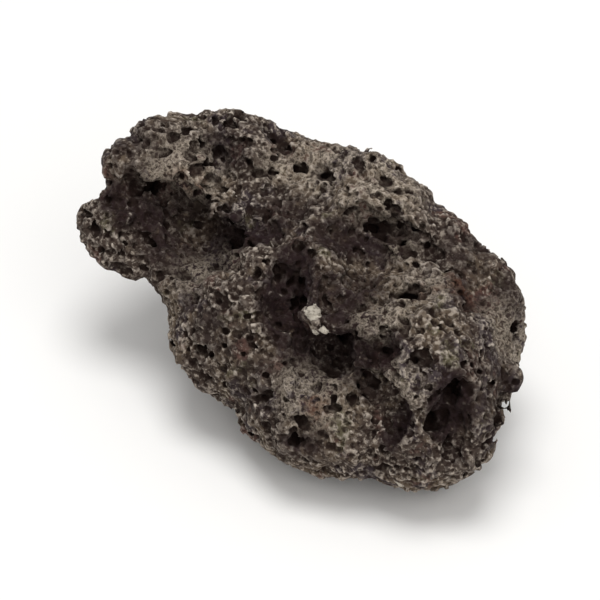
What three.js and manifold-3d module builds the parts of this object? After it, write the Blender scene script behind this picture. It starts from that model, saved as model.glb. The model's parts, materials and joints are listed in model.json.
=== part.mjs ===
// One lava rock: a torn lump of basalt foam, cooled in one piece. Millimetres, +Z up.
// The stone is described by its lumps, the big hollows between them and a natural roughness.
// Their common surface is found along rays that leave a spine inside the stone.
// The flat broken face that it rests on is cut last.

import * as THREE from "three";
import { SimplexNoise } from "three/addons/math/SimplexNoise.js";
import { mergeVertices } from "three/addons/utils/BufferGeometryUtils.js";
import Module from "manifold-3d";

// Driving dimensions
const stoneLength = 67; // along X, end to end
const lumpBlend = 3.2; // how far neighbouring lumps run into each other
const hollowBlend = 1.2; // how round a hollow's lip is
const spineStart = new THREE.Vector3(-18, 0, 21); // the spine that the rays leave, inside the stone
const spineEnd = new THREE.Vector3(18, 1, 14);
const roundness = 19; // rows of triangles on each of the twenty faces of the starting sphere
const searchFrom = 34; // the search for the surface starts this far out along a ray
const searchStep = 0.25;
const searchHalvings = 12; // the last step is halved this often
const relaxRounds = 12; // how often the triangles are evened out
const relaxStep = 1; // the furthest that a point moves back to the surface in one round
const slopeStep = 0.05; // how far apart the slope of the distance is read
const leastSlope = 0.2; // keeps a flat spot of the distance from throwing a point far out
const creaseMiddle = 0.6; // taken off a creased layer, so that it adds about as much as it takes
const noiseSeed = 41;
const cutDepth = 10; // thickness and overhang of the block that cuts the resting face
const mergeWithin = 1e-5; // points closer than this are one point

// Lumps: centre, half sizes, then the turn about Z and the tilt about Y in degrees.
const lumps = [
  { name: "body", at: [2, 0, 16], half: [20, 13, 13], turn: 0, tilt: 3 },
  { name: "knob", at: [-20.5, 6, 24.5], half: [8.5, 7, 7.5], turn: 10, tilt: 0 },
  { name: "cheek", at: [-28, -1.5, 24], half: [6.5, 7, 6], turn: 0, tilt: 0 },
  { name: "snout", at: [-27, -10.5, 18.5], half: [7, 5, 5], turn: 20, tilt: 0 },
  { name: "neck", at: [-16, -3, 18], half: [12, 9.5, 8], turn: 0, tilt: 15 },
  { name: "saddle", at: [-10.5, 7, 20], half: [9, 6.5, 7.5], turn: 0, tilt: 0 },
  { name: "flank", at: [-2.5, -9, 13.5], half: [13, 7.5, 10], turn: 8, tilt: 0 },
  { name: "rim", at: [2, 11, 23.5], half: [15.5, 6.5, 7], turn: -6, tilt: 8 },
  { name: "shoulder", at: [13.5, 10, 17], half: [10, 8.5, 9.5], turn: 0, tilt: 0 },
  { name: "bulge", at: [19.5, -0.5, 13.5], half: [11.5, 12.5, 13], turn: 20, tilt: 0 },
  { name: "heel", at: [7.5, -10.5, 10], half: [13, 7, 9], turn: 0, tilt: 0 },
  { name: "sole", at: [2, 0, 4], half: [19, 10.5, 7], turn: 6, tilt: 0 },
];

// Hollows, in the same form.
const hollows = [
  { name: "eye", at: [-14, -8, 22.5], half: [10, 4, 4.2], turn: 2, tilt: -6 },
  { name: "brow pit", at: [7, 1.5, 28], half: [4, 5, 4.5], turn: 20, tilt: 0 },
  { name: "crater edge", at: [2.5, -9.5, 24.5], half: [3, 5, 4], turn: 0, tilt: 0 },
  { name: "crater side", at: [5, -14, 20.5], half: [3.4, 3.5, 5], turn: 0, tilt: 0 },
  { name: "deep hollow", at: [19, -11.5, 17.5], half: [5.5, 5.5, 3.6], turn: 44, tilt: 0 },
  { name: "knob face", at: [-16, 0.5, 30], half: [4.5, 3.5, 3.5], turn: 0, tilt: 0 },
  { name: "end pit", at: [29.5, -7, 19.5], half: [3, 3, 4], turn: 0, tilt: 0 },
  { name: "low end pit", at: [32, -9, 11.5], half: [2.6, 2.6, 3.2], turn: 0, tilt: 0 },
  { name: "shoulder pit", at: [19.5, 10, 24], half: [3.5, 3, 3], turn: 0, tilt: 0 },
  { name: "back basin", at: [4, 20, 15], half: [9, 4.5, 5.5], turn: -8, tilt: 10 },
  { name: "back pocket", at: [-14, 13.5, 15], half: [4.5, 3.5, 3.5], turn: 0, tilt: 0 },
  { name: "end pocket", at: [32.5, 5, 8], half: [3, 4, 3], turn: 0, tilt: 0 },
  { name: "end foot", at: [32, -1, 3.5], half: [4.5, 8, 4.5], turn: 0, tilt: 0 },
  { name: "under snout", at: [-15, -8, 9.5], half: [6, 4.5, 3], turn: 0, tilt: 0 },
];

// Roughness: each layer has a wavelength and a height. A creased layer folds along lines, as torn crust is.
const roughness = [
  { wavelength: 21, height: 1.1, creased: false },
  { wavelength: 11, height: 1.0, creased: true },
  { wavelength: 5.5, height: 0.5, creased: true },
];

// A fixed series of numbers between 0 and 1 for the noise tables, the same on each run.
function seededSeries(seed) {
  let state = seed;
  return {
    random() {
      state = (state * 16807) % 2147483647;
      return state / 2147483647;
    },
  };
}
const noise = new SimplexNoise(seededSeries(noiseSeed));

// A lump or hollow as the distance needs it: its centre, its half sizes and its turn undone.
function prepared(entry) {
  const tilt = THREE.MathUtils.degToRad(entry.tilt);
  const turn = THREE.MathUtils.degToRad(entry.turn);
  const turned = new THREE.Euler(0, tilt, turn, "ZYX");
  return {
    centre: new THREE.Vector3(...entry.at),
    half: new THREE.Vector3(...entry.half),
    back: new THREE.Quaternion().setFromEuler(turned).invert(),
  };
}
const lumpShapes = lumps.map(prepared);
const hollowShapes = hollows.map(prepared);

// About how far a point is outside an ellipsoid, less than zero inside it.
function distanceTo(shape, point) {
  const local = point.clone().sub(shape.centre).applyQuaternion(shape.back);
  const byHalf = local.clone().divide(shape.half);
  const bySquare = byHalf.clone().divide(shape.half);
  const reach = byHalf.length();
  return (reach * (reach - 1)) / Math.max(bySquare.length(), Number.EPSILON);
}

// The smaller of two distances, rounded over where they are alike.
function blendedMin(a, b, blend) {
  const share = Math.max(blend - Math.abs(a - b), 0) / blend;
  return Math.min(a, b) - (share * share * blend) / 4;
}

// How much the natural roughness raises the surface at a point.
function roughnessAt(point) {
  let height = 0;
  for (const layer of roughness) {
    const value = noise.noise3d(
      point.x / layer.wavelength,
      point.y / layer.wavelength,
      point.z / layer.wavelength,
    );
    height += layer.height * (layer.creased ? 2 * Math.abs(value) - creaseMiddle : value);
  }
  return height;
}

// How far a point is outside the stone.
function stoneDistance(point) {
  const [firstLump, ...otherLumps] = lumpShapes;
  let distance = distanceTo(firstLump, point);
  for (const shape of otherLumps) {
    distance = blendedMin(distance, distanceTo(shape, point), lumpBlend);
  }
  for (const shape of hollowShapes) {
    distance = -blendedMin(-distance, distanceTo(shape, point), hollowBlend);
  }
  return distance - roughnessAt(point);
}

// The outermost point of the stone along a ray.
function surfaceAlong(origin, direction) {
  const at = (reach) => origin.clone().addScaledVector(direction, reach);
  let outside = searchFrom;
  while (outside > searchStep && stoneDistance(at(outside - searchStep)) > 0) {
    outside -= searchStep;
  }
  let inside = outside - searchStep;
  for (let halving = 0; halving < searchHalvings; halving += 1) {
    const middle = (inside + outside) / 2;
    if (stoneDistance(at(middle)) > 0) {
      outside = middle;
    } else {
      inside = middle;
    }
  }
  return at((inside + outside) / 2);
}

// The way out of the stone at a point, as the slope of the distance there.
function slopeAt(point) {
  const beside = (x, y, z) => stoneDistance(point.clone().add(new THREE.Vector3(x, y, z)));
  return new THREE.Vector3(
    beside(slopeStep, 0, 0) - beside(-slopeStep, 0, 0),
    beside(0, slopeStep, 0) - beside(0, -slopeStep, 0),
    beside(0, 0, slopeStep) - beside(0, 0, -slopeStep),
  ).divideScalar(2 * slopeStep);
}

// Each point's neighbours in a mesh of shared points.
function neighboursIn(skin) {
  const corners = skin.index.array;
  const found = Array.from({ length: skin.getAttribute("position").count }, () => new Set());
  for (let i = 0; i < corners.length; i += 3) {
    for (let side = 0; side < 3; side += 1) {
      const here = corners[i + side];
      const next = corners[i + ((side + 1) % 3)];
      found[here].add(next);
      found[next].add(here);
    }
  }
  return found;
}

// Evens out the triangles: each point goes to the middle of its neighbours, then back onto the stone.
function relax(skin) {
  const place = skin.getAttribute("position");
  const neighbours = neighboursIn(skin);
  for (let round = 0; round < relaxRounds; round += 1) {
    const moved = neighbours.map((near) => {
      const middle = new THREE.Vector3();
      for (const i of near) {
        middle.add(new THREE.Vector3().fromBufferAttribute(place, i));
      }
      return middle.divideScalar(near.size);
    });
    moved.forEach((point, i) => {
      const slope = slopeAt(point);
      const back = stoneDistance(point) / Math.max(slope.lengthSq(), leastSlope);
      point.addScaledVector(slope, -THREE.MathUtils.clamp(back, -relaxStep, relaxStep));
      place.setXYZ(i, point.x, point.y, point.z);
    });
  }
}

// The whole skin: a sphere of triangles whose points go out from the spine until they meet the stone.
function skinGeometry() {
  const sphere = new THREE.IcosahedronGeometry(1, roundness);
  sphere.deleteAttribute("normal");
  sphere.deleteAttribute("uv");
  const skin = mergeVertices(sphere, mergeWithin);
  const place = skin.getAttribute("position");
  for (let i = 0; i < place.count; i += 1) {
    const direction = new THREE.Vector3().fromBufferAttribute(place, i).normalize();
    const origin = new THREE.Vector3().lerpVectors(spineStart, spineEnd, (1 + direction.x) / 2);
    const found = surfaceAlong(origin, direction);
    place.setXYZ(i, found.x, found.y, found.z);
  }
  relax(skin);
  return skin;
}

const wasm = await Module();
wasm.setup();

// A solid of a geometry whose points are shared.
function solidFrom(geometry) {
  return new wasm.Manifold(
    new wasm.Mesh({
      numProp: 3,
      vertProperties: geometry.getAttribute("position").array,
      triVerts: new Uint32Array(geometry.index.array),
    }),
  );
}

// A geometry of a solid.
function geometryFrom(solid) {
  const mesh = solid.getMesh();
  const points = new Float32Array(mesh.vertProperties);
  const corners = new Uint32Array(mesh.triVerts);
  const geometry = new THREE.BufferGeometry();
  geometry.setAttribute("position", new THREE.BufferAttribute(points, 3));
  geometry.setIndex(new THREE.BufferAttribute(corners, 1));
  return geometry;
}

// Breaks the underside off flat, at height 0.
function withRestingFace(skin) {
  skin.computeBoundingBox();
  const size = skin.boundingBox.getSize(new THREE.Vector3());
  const centre = skin.boundingBox.getCenter(new THREE.Vector3());
  const block = new THREE.BoxGeometry(size.x + 2 * cutDepth, size.y + 2 * cutDepth, cutDepth);
  block.deleteAttribute("normal");
  block.deleteAttribute("uv");
  block.translate(centre.x, centre.y, -cutDepth / 2);
  const below = mergeVertices(block, mergeWithin);
  return geometryFrom(solidFrom(skin).subtract(solidFrom(below)));
}

const stone = withRestingFace(skinGeometry());

// The stone is brought to its exact length, with the middle of its base at the origin.
stone.computeBoundingBox();
const middle = stone.boundingBox.getCenter(new THREE.Vector3());
const grown = stoneLength / (stone.boundingBox.max.x - stone.boundingBox.min.x);
stone.translate(-middle.x, -middle.y, 0);
stone.scale(grown, grown, grown);
stone.computeVertexNormals();

const basalt = new THREE.MeshStandardMaterial({ color: 0x4a4139, roughness: 0.95, metalness: 0 });
const lavaRock = new THREE.Mesh(stone, basalt);
lavaRock.name = "lava_rock";

const part = new THREE.Group();
part.add(lavaRock);

export default part;
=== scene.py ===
import bpy, bmesh, json, math
import numpy as np
from mathutils import Matrix, Vector, noise
from mathutils.bvhtree import BVHTree

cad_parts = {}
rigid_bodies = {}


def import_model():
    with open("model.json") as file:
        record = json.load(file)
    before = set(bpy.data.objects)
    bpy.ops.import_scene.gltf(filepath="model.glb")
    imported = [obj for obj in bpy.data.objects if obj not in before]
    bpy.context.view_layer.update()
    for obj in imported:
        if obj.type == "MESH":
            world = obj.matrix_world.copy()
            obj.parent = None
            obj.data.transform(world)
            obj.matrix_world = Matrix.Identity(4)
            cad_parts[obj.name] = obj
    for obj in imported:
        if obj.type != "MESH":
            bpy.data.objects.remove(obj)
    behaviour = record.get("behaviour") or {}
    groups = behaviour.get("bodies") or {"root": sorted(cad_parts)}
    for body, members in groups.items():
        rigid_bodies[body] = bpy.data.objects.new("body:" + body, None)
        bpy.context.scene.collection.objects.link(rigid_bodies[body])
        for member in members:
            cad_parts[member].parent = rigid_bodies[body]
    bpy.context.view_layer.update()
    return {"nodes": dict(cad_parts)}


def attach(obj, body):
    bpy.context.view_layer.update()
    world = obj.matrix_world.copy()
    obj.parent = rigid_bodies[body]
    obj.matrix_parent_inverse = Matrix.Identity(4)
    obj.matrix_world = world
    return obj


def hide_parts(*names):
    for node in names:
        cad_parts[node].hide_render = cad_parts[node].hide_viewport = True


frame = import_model()
mm = 0.001


def linear(hexColour):  # sRGB hex to the linear RGBA that sockets want
    channels = [int(hexColour[i:i + 2], 16) / 255 for i in (1, 3, 5)]
    return [c / 12.92 if c <= 0.04045 else ((c + 0.055) / 1.055) ** 2.4 for c in channels] + [1.0]


def addNode(tree, kind, settings=None, links=None):
    # a node with its attributes or plain input values, and links given as input: output socket
    node = tree.nodes.new(kind)
    for name, value in (settings or {}).items():
        if isinstance(name, str) and hasattr(node, name):
            setattr(node, name, value)
        else:
            node.inputs[name].default_value = value
    for name, socket in (links or {}).items():
        tree.links.new(socket, node.inputs[name])
    return node


def newObject(name, mesh):
    ob = bpy.data.objects.new(name, mesh)
    bpy.context.scene.collection.objects.link(ob)
    return ob


def meshFrom(name, bm):
    mesh = bpy.data.meshes.new(name)
    bm.to_mesh(mesh)
    bm.free()
    return mesh


def baked(ob):  # the object, with its modifiers applied to its mesh
    bpy.context.view_layer.update()
    evaluated = ob.evaluated_get(bpy.context.evaluated_depsgraph_get())
    finished = bpy.data.meshes.new_from_object(evaluated)
    old = ob.data
    ob.modifiers.clear()
    ob.data = finished
    bpy.data.meshes.remove(old)
    return ob


def treeOf(ob):
    return BVHTree.FromObject(ob, bpy.context.evaluated_depsgraph_get())


def vertexArray(mesh, attribute="co"):
    found = np.empty(len(mesh.vertices) * 3, np.float32)
    mesh.vertices.foreach_get(attribute, found)
    return found.reshape(-1, 3).astype(float)


viewSet = dict(
    azimuth=44.0, elevation=40.0,  # degrees: where the stone is looked at from
    distance=0.56, frameWidth=0.0787,  # metres, the frame's width at the stone
    aim=(-1.3 * mm, -1.3 * mm, 16.1 * mm),
    floorShade="#f4f3f1", roomLight=0.54,
    # soft lamps: degrees round and up, distance and size in metres, watts
    lamps=(
        dict(azimuth=0, elevation=90, distance=0.9, size=0.5, power=4.3),
        dict(azimuth=70, elevation=40, distance=0.9, size=1.0, power=2.6),
    ),
)


def lookFrom(azimuth, elevation):  # unit vector from the stone towards the eye
    a, e = math.radians(azimuth), math.radians(elevation)
    return Vector((math.sin(a) * math.cos(e), -math.cos(a) * math.cos(e), math.sin(e)))


def addCamera():
    data = bpy.data.cameras.new("camera")
    data.sensor_width = 36
    data.lens = data.sensor_width * viewSet["distance"] / viewSet["frameWidth"]
    data.clip_start, data.clip_end = 0.01, 20
    camera = newObject("camera", data)
    away = lookFrom(viewSet["azimuth"], viewSet["elevation"])
    camera.location = Vector(viewSet["aim"]) + away * viewSet["distance"]
    camera.rotation_euler = away.to_track_quat("Z", "Y").to_euler()
    bpy.context.scene.camera = camera


def addLamps():
    for number, lamp in enumerate(viewSet["lamps"]):
        light = bpy.data.lights.new(f"lamp{number}", "AREA")
        light.shape, light.size, light.energy = "DISK", lamp["size"], lamp["power"]
        ob = newObject(f"lamp{number}", light)
        away = lookFrom(lamp["azimuth"], lamp["elevation"])
        ob.location = away * lamp["distance"]
        ob.rotation_euler = away.to_track_quat("Z", "Y").to_euler()


def addStudio():
    world = bpy.data.worlds.new("studio")
    bpy.context.scene.world = world
    world.use_nodes = True
    backdrop = world.node_tree.nodes["Background"]
    backdrop.inputs["Color"].default_value = linear("#ffffff")
    backdrop.inputs["Strength"].default_value = viewSet["roomLight"]
    bm = bmesh.new()
    bmesh.ops.create_grid(bm, x_segments=1, y_segments=1, size=3)
    floor = newObject("floor", meshFrom("floor", bm))
    paper = bpy.data.materials.new("matt white paper")  # dull and even, so that only the shadow shows on it
    paper.use_nodes = True
    shader = paper.node_tree.nodes["Principled BSDF"]
    shader.inputs["Base Color"].default_value = linear(viewSet["floorShade"])
    shader.inputs["Roughness"].default_value = 0.9
    shader.inputs["Specular IOR Level"].default_value = 0.1
    floor.data.materials.append(paper)
    bpy.context.scene.view_settings.view_transform = "Standard"


addCamera()
addLamps()
addStudio()
print("camera and studio ready")


stoneSet = dict(
    seed=11,
    skinGrid=0.5,  # mm, grid of the bare stone before its bubbles
    finishGrid=0.22,  # mm, grid of the finished stone
    faceLimit=196000,  # triangles in the finished stone
    seamRounds=4,  # how often the seams of the large hollows are smoothed
    plainRounds=500,  # how often the bare stone is smoothed to find its hollows and ridges
    swellRagged=0.2, hollowRagged=0.55,  # how ragged the swells and the large hollows are
    restBand=1.2,  # mm above the resting face over which the roughness fades in
    tipWidth=2.6, tipHeight=0.6,  # mm, how wide and how high a sound tip is
    tipWear=0.8,  # share of what stands higher that is lost
    # the torn crust: lumps, and two sizes of ridge with sharp creases between them. A pattern's values
    # become heights in mm, and folded turns its middle values into creases
    crust=(
        dict(kind="ShaderNodeTexNoise", width=7.0, inputs={"Detail": 2.0},
             values=(0, 1), heights=(-0.45, 0.45)),
        dict(kind="ShaderNodeTexNoise", width=3.4, inputs={"Detail": 1.0, "Distortion": 0.3}, folded=True,
             values=(0.41, 0.5), heights=(0, -0.22)),
        dict(kind="ShaderNodeTexNoise", width=1.7, inputs={"Detail": 1.0}, folded=True,
             values=(0.41, 0.5), heights=(0, -0.22)),
    ),
    # the finest marks: pinholes and grit
    grit=(
        dict(kind="ShaderNodeTexVoronoi", width=0.95, inputs={}, values=(0, 0.42), heights=(-0.3, 0)),
        dict(kind="ShaderNodeTexNoise", width=0.55, inputs={"Detail": 2.0},
             values=(0, 1), heights=(-0.1, 0.1)),
    ),
    # gas bubbles, from large to small: how many, smallest and largest diameter in mm, how far the middle is
    # sunk in the skin and the least spacing, both as shares of the radius, and how far they keep to their
    # own patches, 0 to 1
    bubbles=(
        dict(count=70, smallest=3.0, largest=5.0, sunk=(-0.85, -0.6), spacing=0.6, patchy=0.2, detail=3),
        dict(count=75, smallest=2.0, largest=3.0, sunk=(-0.2, 0.5), spacing=1.2, patchy=0.3, detail=3),
        dict(count=1050, smallest=1.1, largest=2.0, sunk=(-0.4, 0.5), spacing=0.8, patchy=0.6, detail=3),
        dict(count=4200, smallest=0.7, largest=1.25, sunk=(-0.3, 0.6), spacing=0.8, patchy=0.6, detail=2),
        dict(count=4500, smallest=0.5, largest=0.8, sunk=(-0.2, 0.6), spacing=0.9, patchy=0.4, detail=2),
    ),
    patchWidth=9.0,  # mm across a patch of many or few bubbles
    stretch=1.9,  # bubbles are drawn out up to this much, more or less along the flow
    turning=0.6,  # how far they turn out of the flow
    dent=0.6,  # how uneven a bubble is, as a share of its radius
    bubbleKinds=6,  # how many shapes the bubbles are made from
)

# the large hollows, where bubbles ran together: a point on the skin, the way that the hollow runs, its
# length, width and depth in mm, and how dark and free of dust its lining is, 0 to 1; the darkness is
# partly painted shade
hollows = {
    "eye": dict(at=(-18, -6.8, 23), along=(0.8, 0.5, -0.3), size=(19, 8.5, 4.6), liningShade=0.82),
    "eyeCorner": dict(at=(-25, -10, 24.8), along=(0.8, 0.4, -0.2), size=(9, 5, 2.4), liningShade=0.8),
    "eyeEnd": dict(at=(-7.5, -4.2, 26), along=(0.8, 0.5, -0.1), size=(9, 5.5, 2.6), liningShade=0.85),
    "notch": dict(at=(-18.7, 1.6, 30.3), along=(0.8, 0.2, -0.5), size=(7, 5, 2.4), liningShade=0.6),
    "saddlePit": dict(at=(-5.9, 1, 27.9), along=(0.5, 0.8, 0), size=(6, 4, 1.6), liningShade=0.3),
    "channelTop": dict(at=(2.4, -6.8, 27), along=(0.2, -0.6, -0.7), size=(9, 5.5, 3.5), liningShade=1.0),
    "channel": dict(at=(3, -7.8, 22.5), along=(0.2, -0.6, -0.7), size=(8, 5, 3.4), liningShade=1.0),
    "channelFoot": dict(at=(6, -10, 20.5), along=(0.6, -0.3, -0.7), size=(9, 5, 3.2), liningShade=1.0),
    "mound": dict(at=(10.4, -4.6, 25.6), along=(0.8, 0.3, 0), size=(10, 7, 1.6), liningShade=0.85),
    "moundTop": dict(at=(12.5, -1, 26.2), along=(0.5, 0.8, 0), size=(8, 6, 1.2), liningShade=0.6),
    "deepHollow": dict(at=(13.2, -10.2, 20.2), along=(0.8, 0.3, 0.3), size=(10, 7, 6), liningShade=1.0),
    "deepHollowEnd": dict(at=(18.3, -9, 22.8), along=(0.7, 0.3, 0.5), size=(8, 6, 5), liningShade=0.8),
    "deepFoot": dict(at=(17, -8.3, 17), along=(0.5, 0.2, -0.8), size=(5, 3, 1.8), liningShade=0.6),
    "valley": dict(at=(4, 3.2, 27.8), along=(0.8, 0.6, -0.1), size=(14, 6.5, 2.8), liningShade=0.85),
    "valleyLeft": dict(at=(-1.4, -0.9, 28.7), along=(0.8, 0.6, 0), size=(7, 5, 1.6), liningShade=0.1),
    "valleyEnd": dict(at=(11.5, 8.3, 27.2), along=(0.8, 0.6, -0.1), size=(8, 5, 1.4), liningShade=0.1),
    "valleyFoot": dict(at=(9.7, -1.2, 26), along=(0.5, -0.8, 0.2), size=(7.5, 5, 1.6), liningShade=0.8),
    "rumpPit": dict(at=(28.8, -5.3, 19), along=(0.4, -0.4, -0.8), size=(8.5, 5, 3.4), liningShade=1.0),
    "rumpFoot": dict(at=(30.8, -6.5, 12.5), along=(0.3, -0.3, -0.9), size=(4.5, 3, 2.2), liningShade=0.4),
    "groove": dict(at=(23.9, -9.6, 14.8), along=(0.3, -0.3, -0.9), size=(7.5, 3.4, 1.9), liningShade=1.0),
    "rustPit": dict(at=(20.8, 6.6, 26), along=(0.3, 0.7, -0.6), size=(7, 5, 2.4), liningShade=1.0),
    "topPit": dict(at=(-5, 2.6, 28), along=(0.2, 1, 0), size=(3.4, 2.6, 1.8), liningShade=0.5),
    "hipPit": dict(at=(14.1, -17.2, 10.7), along=(1, 0.3, 0), size=(5, 2.4, 1.6), liningShade=0.6),
    "cheekPit": dict(at=(-10, -13.4, 19.5), along=(0.4, -0.2, -0.8), size=(4.5, 2.4, 1.6), liningShade=0.6),
    "backLong": dict(at=(-9, 18, 18), along=(1, 0.1, 0.3), size=(13, 5.5, 3.4), liningShade=0.9),
    "backRound": dict(at=(13, 19, 15), along=(0.3, 0, 1), size=(8, 6, 3.6), liningShade=0.9),
    "backLow": dict(at=(3, 18, 8), along=(1, 0, -0.2), size=(7, 4, 2.4), liningShade=0.7),
    "backHigh": dict(at=(4, 18, 22), along=(1, 0, 0.1), size=(8, 4.5, 1.8), liningShade=0.7),
    "endFace": dict(at=(34, 3, 13), along=(0.1, 1, 0.4), size=(9, 5.5, 3), liningShade=0.8),
    "noseSide": dict(at=(-33, 2, 18), along=(0.2, 1, -0.4), size=(7, 4.5, 2.6), liningShade=0.8),
    "throat": dict(at=(-20, -8, 8), along=(1, 0.3, 0.2), size=(9, 5, 2.6), liningShade=0.8),
    "under": dict(at=(22, 12, 4), along=(0.8, -0.5, 0), size=(8, 5, 2.4), liningShade=0.8),
}

# full, rounded places: a point on the skin, the way that it runs, and its length, width and height in mm
swells = {
    "knobCorner": dict(at=(-27.6, 1.8, 28.8), along=(0.8, 0.6, 0), size=(11, 9, 1.9)),
    "knobBack": dict(at=(-20.5, 11, 29.5), along=(0.8, 0.6, 0), size=(9, 7, 0.7)),
    "brow": dict(at=(-20.8, -3, 28.4), along=(0.8, 0.5, 0), size=(9, 4, 1.0)),
    "throatFold": dict(at=(-16, -11.5, 15.5), along=(0.8, -0.3, 0), size=(9, 7, 1.3)),
}


def evenGrid(ob, size):
    remesh = ob.modifiers.new("grid", "REMESH")
    remesh.mode, remesh.voxel_size = "VOXEL", size * mm
    return baked(ob)


def soften(ob, rounds):
    step = ob.modifiers.new("soften", "SMOOTH")
    step.factor, step.iterations = 0.5, rounds
    return baked(ob)


def bareStone():
    # the CAD stone, its loose triangles joined up, on an even grid fine enough to rough up
    bm = bmesh.new()
    bm.from_mesh(frame["nodes"]["lava_rock"].data)
    bmesh.ops.remove_doubles(bm, verts=bm.verts, dist=0.01 * mm)
    return evenGrid(newObject("lavaRock", meshFrom("lavaRock", bm)), stoneSet["skinGrid"])


def roughen(ob, name, layers):
    # geometry nodes that move the skin in and out by a sum of patterns, fading out at the resting face
    tree = bpy.data.node_groups.new(name, "GeometryNodeTree")
    for way in ("INPUT", "OUTPUT"):
        tree.interface.new_socket("Stone", in_out=way, socket_type="NodeSocketGeometry")
    source = addNode(tree, "NodeGroupInput")
    place = addNode(tree, "GeometryNodeInputPosition").outputs["Position"]
    total = None
    for number, layer in enumerate(layers):
        shift = (number * 0.37, number * 0.11, 0.2)  # so that no two patterns line up
        shifted = addNode(tree, "ShaderNodeVectorMath", {"operation": "ADD", 1: shift}, {0: place})
        value = addNode(tree, layer["kind"], {"Scale": 1 / (layer["width"] * mm), **layer["inputs"]},
                        {"Vector": shifted.outputs["Vector"]}).outputs[0]
        folded = layer.get("folded", False)
        if folded:
            value = addNode(tree, "ShaderNodeMath", {"operation": "PINGPONG", 1: 0.5},
                            {0: value}).outputs[0]
        (fromLow, fromHigh), (low, high) = layer["values"], layer["heights"]
        height = addNode(tree, "ShaderNodeMapRange", {"From Min": fromLow, "From Max": fromHigh,
                                                      "To Min": low * mm, "To Max": high * mm,
                                                      "clamp": not folded}, {"Value": value}).outputs[0]
        if total is not None:
            height = addNode(tree, "ShaderNodeMath", {"operation": "ADD"}, {0: total, 1: height}).outputs[0]
        total = height
    split = addNode(tree, "ShaderNodeSeparateXYZ", links={"Vector": place})
    lowest = vertexArray(ob.data)[:, 2].min()
    fade = addNode(tree, "ShaderNodeMapRange", {"From Min": lowest,
                                                "From Max": lowest + stoneSet["restBand"] * mm},
                   {"Value": split.outputs["Z"]})
    faded = addNode(tree, "ShaderNodeMath", {"operation": "MULTIPLY"},
                    {0: total, 1: fade.outputs["Result"]})
    normal = addNode(tree, "GeometryNodeInputNormal").outputs["Normal"]
    offset = addNode(tree, "ShaderNodeVectorMath", {"operation": "SCALE"},
                     {0: normal, "Scale": faded.outputs["Value"]})
    moved = addNode(tree, "GeometryNodeSetPosition", links={"Geometry": source.outputs["Stone"],
                                                            "Offset": offset.outputs["Vector"]})
    addNode(tree, "NodeGroupOutput", links={"Stone": moved.outputs["Geometry"]})
    step = ob.modifiers.new(name, "NODES")
    step.node_group = tree
    return baked(ob)


def joinAll(ob, others, how):
    # takes every shape in the collection out of the object, or joins it on, and then drops the shapes
    bpy.context.scene.collection.children.link(others)
    bpy.context.view_layer.update()
    step = ob.modifiers.new("join", "BOOLEAN")
    step.operation, step.solver = how, "MANIFOLD"
    step.operand_type, step.collection = "COLLECTION", others
    baked(ob)
    shapes = {other.data for other in others.objects}
    bpy.data.batch_remove(list(others.objects) + [others] + list(shapes))


def shapeSkin(ob, table, how, lift, ragged):
    # each named shape lies square to the skin and is more or less ragged. A lift of 1 puts its middle
    # outside the skin, for a hollow, and -1 inside, for a swell
    skin = treeOf(ob)
    shapes = bpy.data.collections.new("shapes")
    for number, entry in enumerate(table.values()):
        place, out = skin.find_nearest(Vector(entry["at"]) * mm)[:2]
        along = Vector(entry["along"])
        along = (along - out * along.dot(out)).normalized()
        turn = Matrix((along, out.cross(along), out)).transposed().to_4x4()
        length, width, depth = (mm * size for size in entry["size"])
        bm = bmesh.new()
        bmesh.ops.create_icosphere(bm, subdivisions=5, radius=1)
        for vert in bm.verts:
            offset = Vector((9.1 * number, 2.2, 0.4))
            bumps = noise.noise(vert.co * 1.4 + offset) + 0.5 * noise.noise(vert.co * 3.3 + offset)
            vert.co *= 1 + ragged * bumps
        shape = Matrix.Diagonal((length / 2, width / 2, depth * 1.5, 1))
        entry["seat"] = Matrix.Translation(place + out * depth * 0.5 * lift) @ turn @ shape
        bmesh.ops.transform(bm, matrix=entry["seat"], verts=bm.verts)
        shapes.objects.link(bpy.data.objects.new("shape", meshFrom("shape", bm)))
    joinAll(ob, shapes, how)


def crowding(place, step):
    # 0 to 1, where a generation of bubbles is sparse or crowded
    offset = Vector((3.1 * step, 7.7, -2.3 * step))
    return min(1, max(0, 0.5 + 1.4 * noise.noise(Vector(place) / (stoneSet["patchWidth"] * mm) + offset)))


def scatter(mesh, gen, step, rng):
    # bubbles on the skin: centre and radius, none too close to another
    mesh.calc_loop_triangles()
    corners = np.empty(len(mesh.loop_triangles) * 3, np.int32)
    mesh.loop_triangles.foreach_get("vertices", corners)
    a, b, c = vertexArray(mesh)[corners.reshape(-1, 3)].transpose(1, 0, 2)
    outward = np.cross(b - a, c - a)
    area = np.linalg.norm(outward, axis=1)
    outward /= area[:, None] + 1e-20
    tries = gen["count"] * 5
    chosen = rng.choice(len(a), tries, p=area / area.sum())
    share = rng.random((tries, 2))
    share[share.sum(1) > 1] = 1 - share[share.sum(1) > 1]
    places = a[chosen] + share[:, :1] * (b - a)[chosen] + share[:, 1:] * (c - a)[chosen]
    growth = rng.random(tries) ** 1.5  # more of the small ones than of the large
    radii = mm / 2 * gen["smallest"] * (gen["largest"] / gen["smallest"]) ** growth
    luck = rng.random(tries)
    grid, kept = {}, []
    for i in range(tries):
        if luck[i] < gen["patchy"] * (1 - crowding(places[i], step)):
            continue
        key = tuple(int(k) for k in np.floor(places[i] / (gen["largest"] * mm)))
        near = [j for x in (-1, 0, 1) for y in (-1, 0, 1) for z in (-1, 0, 1)
                for j in grid.get((key[0] + x, key[1] + y, key[2] + z), ())]
        if near:
            gaps = np.linalg.norm(places[near] - places[i], axis=1)
            if (gaps < gen["spacing"] * (radii[near] + radii[i])).any():
                continue
        grid.setdefault(key, []).append(i)
        kept.append(i)
        if len(kept) == gen["count"]:
            break
    depth = rng.uniform(*gen["sunk"], len(kept))[:, None] * radii[kept][:, None]
    return places[kept] - outward[chosen[kept]] * depth, radii[kept]


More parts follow.
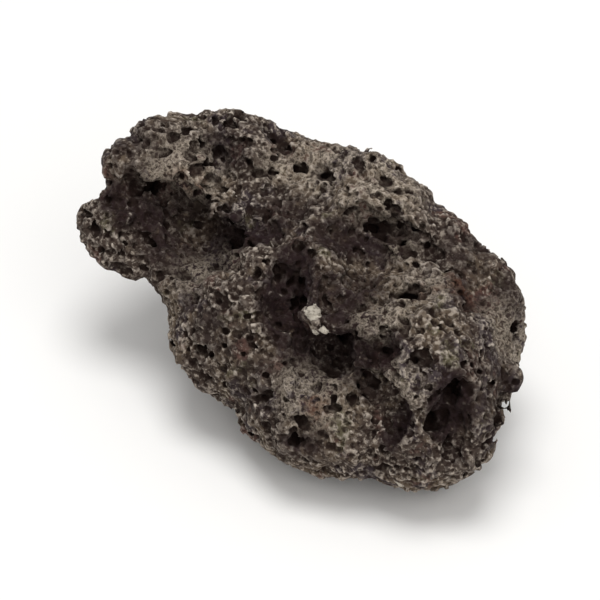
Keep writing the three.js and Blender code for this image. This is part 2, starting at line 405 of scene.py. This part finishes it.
def bubbleShapes(detail):
    # a few uneven hollow shapes, one of which stands for each bubble
    shapes = []
    for number in range(stoneSet["bubbleKinds"]):
        bm = bmesh.new()
        bmesh.ops.create_icosphere(bm, subdivisions=detail, radius=1)
        for vert in bm.verts:
            offset = Vector((4.7 * number, 1.3, 0.6))
            vert.co *= 1 + stoneSet["dent"] * noise.noise(vert.co * 1.3 + offset)
        shapes.append(meshFrom(f"bubble{number}", bm))
    return shapes


def cutBubbles(ob, centres, radii, detail, rng):
    shapes = bubbleShapes(detail)
    cutters = bpy.data.collections.new("bubbles")
    for i, centre in enumerate(centres):
        bubble = bpy.data.objects.new("bubble", shapes[i % len(shapes)])
        flow = Vector((1, rng.normal(0, stoneSet["turning"]), rng.normal(0, stoneSet["turning"])))
        turn = flow.to_track_quat("X", "Z").to_matrix().to_4x4()
        spin = Matrix.Rotation(rng.uniform(0, math.tau), 4, "X")
        long = 1 + (stoneSet["stretch"] - 1) * rng.random()
        size = Matrix.Diagonal((long, 1 / long ** 0.5, 1 / long ** 0.5, 1)) * radii[i]
        size[3][3] = 1
        bubble.matrix_world = Matrix.Translation(centre) @ turn @ spin @ size
        cutters.objects.link(bubble)
    joinAll(ob, cutters, "DIFFERENCE")


def dropCrumbs(ob):
    # keeps the stone itself and drops any crumb that its bubbles cut free
    bm = bmesh.new()
    bm.from_mesh(ob.data)
    left, stone = set(bm.verts), set()
    while left:
        island, front = set(), [left.pop()]
        while front:
            vert = front.pop()
            island.add(vert)
            for edge in vert.link_edges:
                other = edge.other_vert(vert)
                if other in left:
                    left.discard(other)
                    front.append(other)
        stone = max(stone, island, key=len)
    bmesh.ops.delete(bm, geom=[v for v in bm.verts if v not in stone], context="VERTS")
    bm.to_mesh(ob.data)
    bm.free()


def smoothedTree(ob):
    # the stone without its hollows and lumps, which tells the one from the other
    plain = newObject("plain", ob.data.copy())
    tree = treeOf(soften(plain, stoneSet["plainRounds"]))
    bpy.data.objects.remove(plain)
    return tree


def levelled(mesh, width):
    # each point's place, averaged over about that width in mm of the stone around it
    ends = np.empty(len(mesh.edges) * 2, np.int32)
    mesh.edges.foreach_get("vertices", ends)
    a, b = ends.reshape(-1, 2).T
    places = vertexArray(mesh)
    length = np.linalg.norm(places[a] - places[b], axis=1).mean()
    count = len(places)
    number = np.bincount(a, minlength=count) + np.bincount(b, minlength=count)
    for _ in range(max(1, int((width * mm / length) ** 2))):
        total = np.stack([np.bincount(a, places[b, k], count) + np.bincount(b, places[a, k], count)
                          for k in range(3)], axis=1)
        places = 0.5 * places + 0.5 * total / number[:, None]
    return places


def wearTips(ob, smoothed):
    # the thin fins and spikes that bubbles leave between them are broken short
    places = vertexArray(ob.data)
    outward = np.array([smoothed.find_nearest(Vector(p))[1] for p in places])
    rise = ((places - levelled(ob.data, stoneSet["tipWidth"])) * outward).sum(1)
    lost = np.clip(rise - stoneSet["tipHeight"] * mm, 0, None) * stoneSet["tipWear"]
    ob.data.vertices.foreach_set("co", (places - outward * lost[:, None]).ravel())
    ob.data.update()


def buildStone():
    rng = np.random.default_rng(stoneSet["seed"])
    stone = bareStone()
    shapeSkin(stone, swells, "UNION", -1, stoneSet["swellRagged"])
    shapeSkin(stone, hollows, "DIFFERENCE", 1, stoneSet["hollowRagged"])
    soften(evenGrid(stone, stoneSet["skinGrid"]), stoneSet["seamRounds"])
    roughen(stone, "crust", stoneSet["crust"])
    skin, smoothed = treeOf(stone), smoothedTree(stone)
    print("bare stone with its hollows", len(stone.data.polygons), "faces")
    for step, gen in enumerate(stoneSet["bubbles"]):
        centres, radii = scatter(stone.data, gen, step, rng)
        cutBubbles(stone, centres, radii, gen["detail"], rng)
        print("bubbles", len(centres), "faces now", len(stone.data.polygons))
    evenGrid(stone, stoneSet["finishGrid"])
    dropCrumbs(stone)
    soften(stone, 1)
    roughen(stone, "grit", stoneSet["grit"])
    thin = stone.modifiers.new("thin", "DECIMATE")
    thin.ratio = stoneSet["faceLimit"] / (2 * len(stone.data.polygons))
    baked(stone)
    wearTips(stone, smoothed)
    setCrystals(stone)
    stone.data.calc_loop_triangles()
    print("finished stone", len(stone.data.loop_triangles), "triangles")
    return stone, skin, smoothed


# pale crystals caught in the stone: a point on the skin, the length, width and height in mm, and the turn
crystals = {
    "largest": dict(at=(8.5, -9.2, 24.8), size=(2.3, 1.7, 1.6), turn=(20, 10, 50)),
    "beside": dict(at=(11.4, -9.5, 23.3), size=(1.3, 0.9, 1.0), turn=(0, 30, 20)),
    "below": dict(at=(9.9, -10.1, 22.4), size=(0.8, 0.6, 0.6), turn=(40, 0, 0)),
    "foot": dict(at=(25.4, -10.6, 6.4), size=(1.0, 0.7, 0.8), turn=(10, 50, 0)),
}

crystalSet = dict(
    uneven=0.8,  # how uneven a crystal is, as a share of its radius
    blunt=0.06,  # bevel on its edges, as a share of its size
    sunk=0.15,  # mm that its middle lies below the skin
)


def setCrystals(ob):
    # each crystal is a blunt grain with flat faces, half sunk in the stone and joined to it
    skin = treeOf(ob)
    grains = bpy.data.collections.new("grains")
    for number, crystal in enumerate(crystals.values()):
        place, out = skin.find_nearest(Vector(crystal["at"]) * mm)[:2]
        crystal["centre"] = place
        bm = bmesh.new()
        bmesh.ops.create_icosphere(bm, subdivisions=1, radius=0.5)
        for vert in bm.verts:
            offset = Vector((3.3 * number, 0.4, 1.9))
            vert.co *= 1 + crystalSet["uneven"] * noise.noise(vert.co * 2.5 + offset)
        bmesh.ops.bevel(bm, geom=bm.edges[:], offset=crystalSet["blunt"], affect="EDGES", segments=1,
                        profile=0.5, material=-1)
        bmesh.ops.transform(bm, matrix=Matrix.Diagonal((*crystal["size"], 1)) * mm, verts=bm.verts)
        turned = Matrix.Identity(4)
        for axis, angle in zip("XYZ", crystal["turn"]):
            turned = Matrix.Rotation(math.radians(angle), 4, axis) @ turned
        middle = Matrix.Translation(place - out * crystalSet["sunk"] * mm)
        bmesh.ops.transform(bm, matrix=middle @ turned, verts=bm.verts)
        grains.objects.link(bpy.data.objects.new("grain", meshFrom("grain", bm)))
    joinAll(ob, grains, "UNION")


stone, skin, smoothed = buildStone()


markSet = dict(
    raySeed=3,
    rays=20,  # directions looked in from each point
    spread=0.97,  # how wide they spread about straight out, 1 for down to level with the skin
    lift=0.05,  # mm above the skin at which they start
    reach=7.0,  # mm, how far away a wall still shelters a point
    farShelter=0.5,  # what a wall at that distance counts for, against 1 for a near one
    rimWidth=0.5,  # mm, size of the rims that are rubbed pale and given a painted highlight
    liningEnd=1.5, liningFade=0.5,  # where a lining and its painted shade end and how softly, in radii of its hollow
)

# patches of colour on the skin: dust, darker patches of painted shade, and rust, each a point and the width
# in mm
patches = {
    "dust": {
        "brow": dict(at=(-20.6, -3.3, 28.2), width=10), "rump": dict(at=(16.2, 2.9, 26), width=8),
        "flank": dict(at=(-11.5, -8, 19), width=9), "belly": dict(at=(12.5, -14.4, 17), width=9.5),
        "saddle": dict(at=(-12.1, 6.2, 28.4), width=5.5), "crest": dict(at=(-7, 9.7, 29.6), width=9),
        "crestEnd": dict(at=(2.5, 9.7, 31.4), width=10),
        "end": dict(at=(24.8, 8.7, 20.3), width=7), "bridge": dict(at=(17.3, -2.8, 26.2), width=5),
        "side": dict(at=(23.5, -8.8, 21.5), width=6), "moundSide": dict(at=(15.3, -4.4, 25), width=6),
        "back": dict(at=(-4, 17, 16), width=14), "backEnd": dict(at=(24, 15, 14), width=9),
        "underside": dict(at=(0, 0, 0), width=14), "valley": dict(at=(9, 6, 28), width=6),
    },
    # painted shade: darker patches where the stone lies out of the light
    "paintedShade": {
        "knobLeft": dict(at=(-27.1, -5.5, 29.4), width=9), "saddleLow": dict(at=(-6, 1, 28), width=8),
        "bellyLow": dict(at=(13.5, -16.5, 11.5), width=8), "right": dict(at=(30, 1, 18), width=13),
        "rightTop": dict(at=(23, 11, 22), width=10), "snout": dict(at=(-27, -12, 20), width=4),
        "throat": dict(at=(-16.5, -11.3, 15.5), width=6),
        "rustPit": dict(at=(20, 7.5, 25), width=8), "flankLow": dict(at=(-3.4, -15.2, 18.1), width=8),
        "bellyLeft": dict(at=(4.8, -16.2, 14.1), width=8), "crestEdge": dict(at=(15.8, 12, 26.5), width=8),
        "backMiddle": dict(at=(6, 18, 20), width=9), "nose": dict(at=(-32, 3, 22), width=8),
    },
    "rust": {
        "rustPit": dict(at=(19.8, 7, 25.5), width=7), "brow": dict(at=(-19.5, -3.5, 27), width=5),
        "belly": dict(at=(14, -14.5, 15.5), width=4), "rump": dict(at=(16.5, 2, 26), width=5),
        "back": dict(at=(10, 18, 10), width=9), "left": dict(at=(-26, 8, 18), width=8),
    },
}


def mark(ob, name, values):
    layer = ob.data.attributes.new(name, "FLOAT", "POINT")
    layer.data.foreach_set("value", np.asarray(values, np.float32))


def markSkins(ob, skin, smoothed):
    # how far each point lies from the skin before its bubbles, and how far it stands over the smoothed
    # stone, less than zero in a hollow, both in mm
    places = vertexArray(ob.data)
    mark(ob, "pitDepth", [skin.find_nearest(Vector(p))[3] / mm for p in places])
    relief = []
    for point in places:
        place, out = smoothed.find_nearest(Vector(point))[:2]
        relief.append((Vector(point) - place).dot(out) / mm)
    mark(ob, "relief", relief)


def markPatches(ob):
    # the dark linings of the hollows, partly painted shade, and the patches of colour, each fading
    # out at its edge
    places = vertexArray(ob.data)
    liningShade = np.zeros(len(places))
    for hollow in hollows.values():
        local = np.c_[places, np.ones(len(places))] @ np.array(hollow["seat"].inverted()).T
        reach = np.linalg.norm(local[:, :3], axis=1)
        inside = np.clip((markSet["liningEnd"] - reach) / markSet["liningFade"], 0, 1)
        liningShade = np.maximum(liningShade, hollow["liningShade"] * inside)
    mark(ob, "liningShade", liningShade)
    for name, table in patches.items():
        found = np.zeros(len(places))
        for patch in table.values():
            gap = np.linalg.norm(places / mm - np.array(patch["at"]), axis=1)
            found = np.maximum(found, np.exp(-(gap / (0.6 * patch["width"])) ** 2))
        mark(ob, name, found)


def markCrystals(ob):
    # the crystals' own points, and flat shading on their faces alone
    places = vertexArray(ob.data)
    found = np.zeros(len(places), bool)
    for crystal in crystals.values():
        gap = np.linalg.norm(places - np.array(crystal["centre"]), axis=1) / mm
        found |= gap < 0.55 * max(crystal["size"])
    mark(ob, "crystal", found)
    ob.data.shade_smooth()
    for face in ob.data.polygons:
        face.use_smooth = not all(found[corner] for corner in face.vertices)


def markShelter(ob):
    # share of the sky over each point that nearby stone hides, where the colour is darkened as painted
    # shade
    tree = treeOf(ob)
    places, normals = vertexArray(ob.data), vertexArray(ob.data, "normal")
    found = np.zeros(len(places))
    turns = np.random.default_rng(markSet["raySeed"]).normal(0, 1, (markSet["rays"], 3))
    turns /= np.linalg.norm(turns, axis=1)[:, None]
    for turn in turns:
        ways = normals + markSet["spread"] * turn
        for i in range(len(places)):
            start = places[i] + normals[i] * markSet["lift"] * mm
            hit = tree.ray_cast(Vector(start), Vector(ways[i]), markSet["reach"] * mm)
            if hit[0] is not None:
                found[i] += 1 - (1 - markSet["farShelter"]) * hit[3] / (markSet["reach"] * mm)
    mark(ob, "shelter", found / markSet["rays"])


def markRims(ob):
    # how far each point stands proud of the stone close around it, in mm
    apart = vertexArray(ob.data) - levelled(ob.data, markSet["rimWidth"])
    mark(ob, "rim", (apart * vertexArray(ob.data, "normal")).sum(1) / mm)


markSkins(stone, skin, smoothed)
markPatches(stone)
markCrystals(stone)
markShelter(stone)
markRims(stone)
print("colour guides ready")


basaltSet = dict(
    crust="#433831",
    # colours laid over the crust in turn. A guide is one of the stone's marks and a grain is a pattern of
    # that width in mm; the colour starts at the first value and is full at the second, up to its most
    layers=(
        dict(colour="#5a4d40", grain=(9.0, 0.47, 0.57)),  # tan
        dict(colour="#543d36", grain=(6.0, 0.56, 0.64)),  # rust brown
        dict(colour="#3a3133", grain=(7.3, 0.54, 0.62)),  # plum grey
        dict(colour="#524c39", grain=(5.0, 0.6, 0.68)),  # olive
        dict(colour="#c2b6a9", guide=("rim", 0.0, 0.1), grain=(2.4, 0.36, 0.56), most=0.95),  # rims: rubbed pale, and a painted highlight
        dict(colour="#b5a899", grain=(0.55, 0.53, 0.63), most=0.55),  # specks of dust
        dict(colour="#2f2523", guide=("paintedShade", 0.1, 0.9), grain=(1.6, 0.36, 0.52), most=0.7),  # painted shade in darker patches
        dict(colour="#261819", guide=("relief", -0.5, -3.2), most=0.65),  # painted shade in low places
        dict(colour="#211315", guide=("liningShade", 0.05, 0.85), grain=(1.1, 0.3, 0.46), most=0.92),  # hollows: dark lining and painted shade
        dict(colour="#b1a493", guide=("dust", 0.1, 0.85), grain=(0.7, 0.41, 0.57), most=0.72),  # dusty
        dict(colour="#61402f", guide=("rust", 0.2, 0.9), grain=(1.4, 0.42, 0.56), most=0.55),  # rusty
        dict(colour="#1c0f0a", grain=(0.7, 0.5, 0.61), most=0.75),  # dark specks
        dict(colour="#1c0f0a", guide=("rim", 0.01, -0.1), most=0.9),  # painted shade in pinholes and creases
        dict(colour="#1c0f0a", guide=("pitDepth", 0.15, 0.9), most=0.85),  # insides of the bubbles: darker walls and painted shade
        dict(colour="#1c0f0a", guide=("shelter", 0.45, 0.85)),  # what hardly sees the light
        dict(colour="#b5ad9f", guide=("crystal", 0.3, 0.7)),  # pale crystals
        dict(colour="#6f675d", guide=("crystal", 0.3, 0.7), grain=(0.6, 0.5, 0.62), most=0.8),  # flaws
    ),
    roughness=(0.9, 0.35),  # of the crust and of the crystals
    specular=0.18,  # specular level, low because the skin is rough and dusty
    bumpGrain=0.3, bumpDepth=0.14,  # mm
)


def basaltMaterial():
    # vesicular basalt, broken and dusty: dull dark crust with no gloss, paler where its rims are rubbed
    # and dust lies, with a painted highlight on the rims, near black in its bubbles and hollows, partly
    # from painted shade there, with a faint glint on the crystals
    material = bpy.data.materials.new("vesicular basalt, broken and dusty")
    material.use_nodes = True
    tree = material.node_tree
    shader = tree.nodes["Principled BSDF"]
    place = addNode(tree, "ShaderNodeTexCoord").outputs["Object"]
    colour = None
    for layer in basaltSet["layers"]:
        shares = []
        if "guide" in layer:
            name, low, high = layer["guide"]
            guide = addNode(tree, "ShaderNodeAttribute", {"attribute_name": name})
            shares.append(addNode(tree, "ShaderNodeMapRange", {"From Min": low, "From Max": high,
                                                               "interpolation_type": "SMOOTHSTEP"},
                                  {"Value": guide.outputs["Fac"]}).outputs["Result"])
        if "grain" in layer:
            width, low, high = layer["grain"]
            grain = addNode(tree, "ShaderNodeTexNoise", {"Scale": 1 / (width * mm), "Detail": 4.0,
                                                         "Roughness": 0.6}, {"Vector": place})
            shares.append(addNode(tree, "ShaderNodeMapRange", {"From Min": low, "From Max": high,
                                                               "interpolation_type": "SMOOTHSTEP"},
                                  {"Value": grain.outputs["Fac"]}).outputs["Result"])
        share = addNode(tree, "ShaderNodeMath", {"operation": "MULTIPLY", 1: layer.get("most", 1.0)},
                        {0: shares[0]})
        if len(shares) == 2:
            share = addNode(tree, "ShaderNodeMath", {"operation": "MULTIPLY"},
                            {0: share.outputs["Value"], 1: shares[1]})
        over = addNode(tree, "ShaderNodeMix", {"data_type": "RGBA", 6: linear(basaltSet["crust"]),
                                               7: linear(layer["colour"])}, {0: share.outputs["Value"]})
        if colour is not None:
            tree.links.new(colour, over.inputs[6])
        colour = over.outputs[2]
    tree.links.new(colour, shader.inputs["Base Color"])
    crystal = addNode(tree, "ShaderNodeAttribute", {"attribute_name": "crystal"})
    dull, glossy = basaltSet["roughness"]
    gloss = addNode(tree, "ShaderNodeMapRange", {"To Min": dull, "To Max": glossy},
                    {"Value": crystal.outputs["Fac"]})
    tree.links.new(gloss.outputs["Result"], shader.inputs["Roughness"])
    shader.inputs["Specular IOR Level"].default_value = basaltSet["specular"]
    grain = addNode(tree, "ShaderNodeTexNoise", {"Scale": 1 / (basaltSet["bumpGrain"] * mm), "Detail": 4.0,
                                                 "Roughness": 0.65}, {"Vector": place})
    bump = addNode(tree, "ShaderNodeBump", {"Strength": 1.0, "Distance": basaltSet["bumpDepth"] * mm},
                   {"Height": grain.outputs["Fac"]})
    tree.links.new(bump.outputs["Normal"], shader.inputs["Normal"])
    return material


stone.data.materials.clear()
stone.data.materials.append(basaltMaterial())
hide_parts("lava_rock")
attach(stone, "root")
